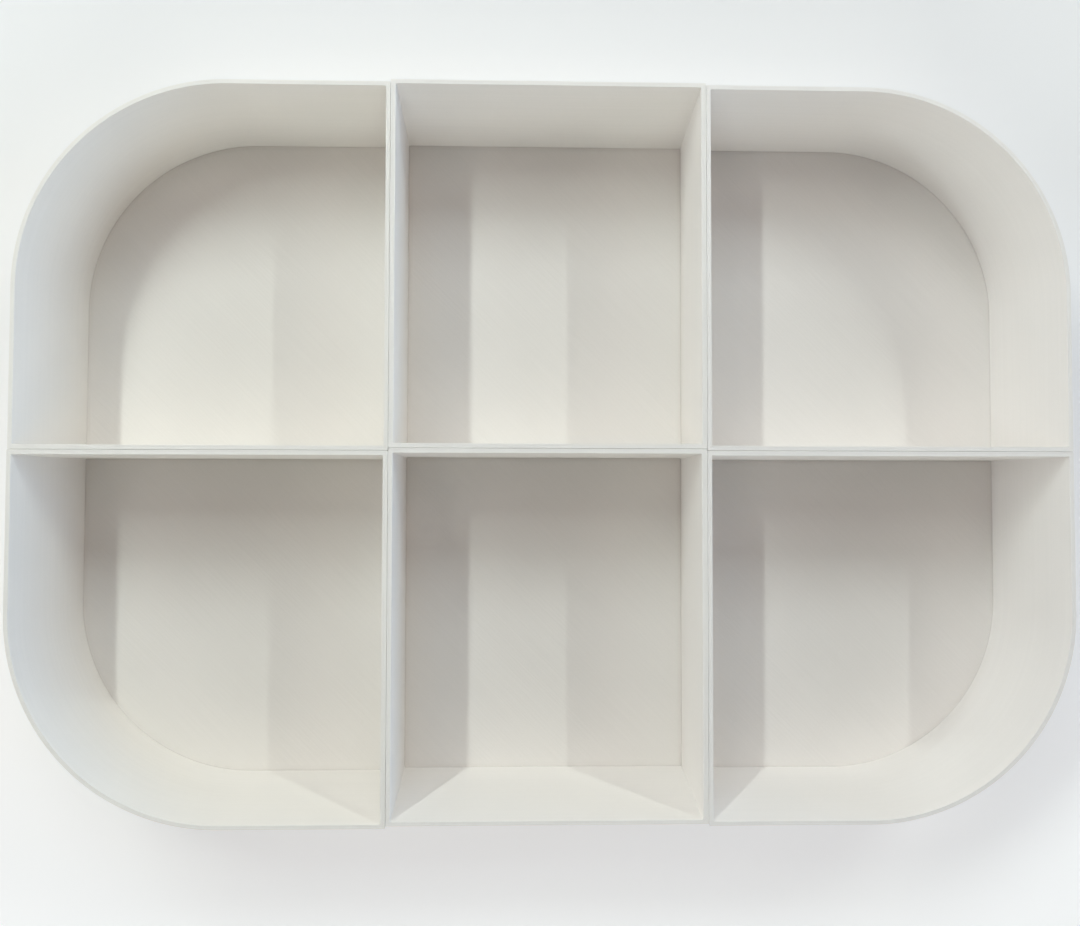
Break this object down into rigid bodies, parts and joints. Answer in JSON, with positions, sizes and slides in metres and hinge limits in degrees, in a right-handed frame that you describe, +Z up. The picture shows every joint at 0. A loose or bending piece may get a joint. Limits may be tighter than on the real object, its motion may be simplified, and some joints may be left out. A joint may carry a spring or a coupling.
{
  "type": "drawer organizer insert",
  "caption": "Set of loose open bins that fill a shallow round-cornered tray or drawer, with thin walls that lean out where they face the tray.",
  "frame": {"origin": "middle of the set's outline, on the surface that the bins stand on", "axes": "+X to the right along the long side, +Y to the back, +Z up through the open tops"},
  "size_m": [0.3854, 0.2698, 0.045],
  "materials": {
    "bin_plastic": "printed off-white plastic, satin to matte, with fine layer lines"
  },
  "bodies": {
    "front_middle": {"front_middle_bin": "bin_plastic"},
    "front_left": {"front_left_bin": "bin_plastic"},
    "front_right": {"front_right_bin": "bin_plastic"},
    "back_left": {"back_left_bin": "bin_plastic"},
    "back_middle": {"back_middle_bin": "bin_plastic"},
    "back_right": {"back_right_bin": "bin_plastic"}
  },
  "joints": [
    {"name": "front_left_lift", "type": "slide", "parent": "front_middle", "child": "front_left", "axis": [0, 0, 1], "range_m": [0, 0.06]},
    {"name": "front_right_lift", "type": "slide", "parent": "front_middle", "child": "front_right", "axis": [0, 0, 1], "range_m": [0, 0.06]},
    {"name": "back_left_lift", "type": "slide", "parent": "front_middle", "child": "back_left", "axis": [0, 0, 1], "range_m": [0, 0.06]},
    {"name": "back_middle_lift", "type": "slide", "parent": "front_middle", "child": "back_middle", "axis": [0, 0, 1], "range_m": [0, 0.06]},
    {"name": "back_right_lift", "type": "slide", "parent": "front_middle", "child": "back_right", "axis": [0, 0, 1], "range_m": [0, 0.06]}
  ]
}
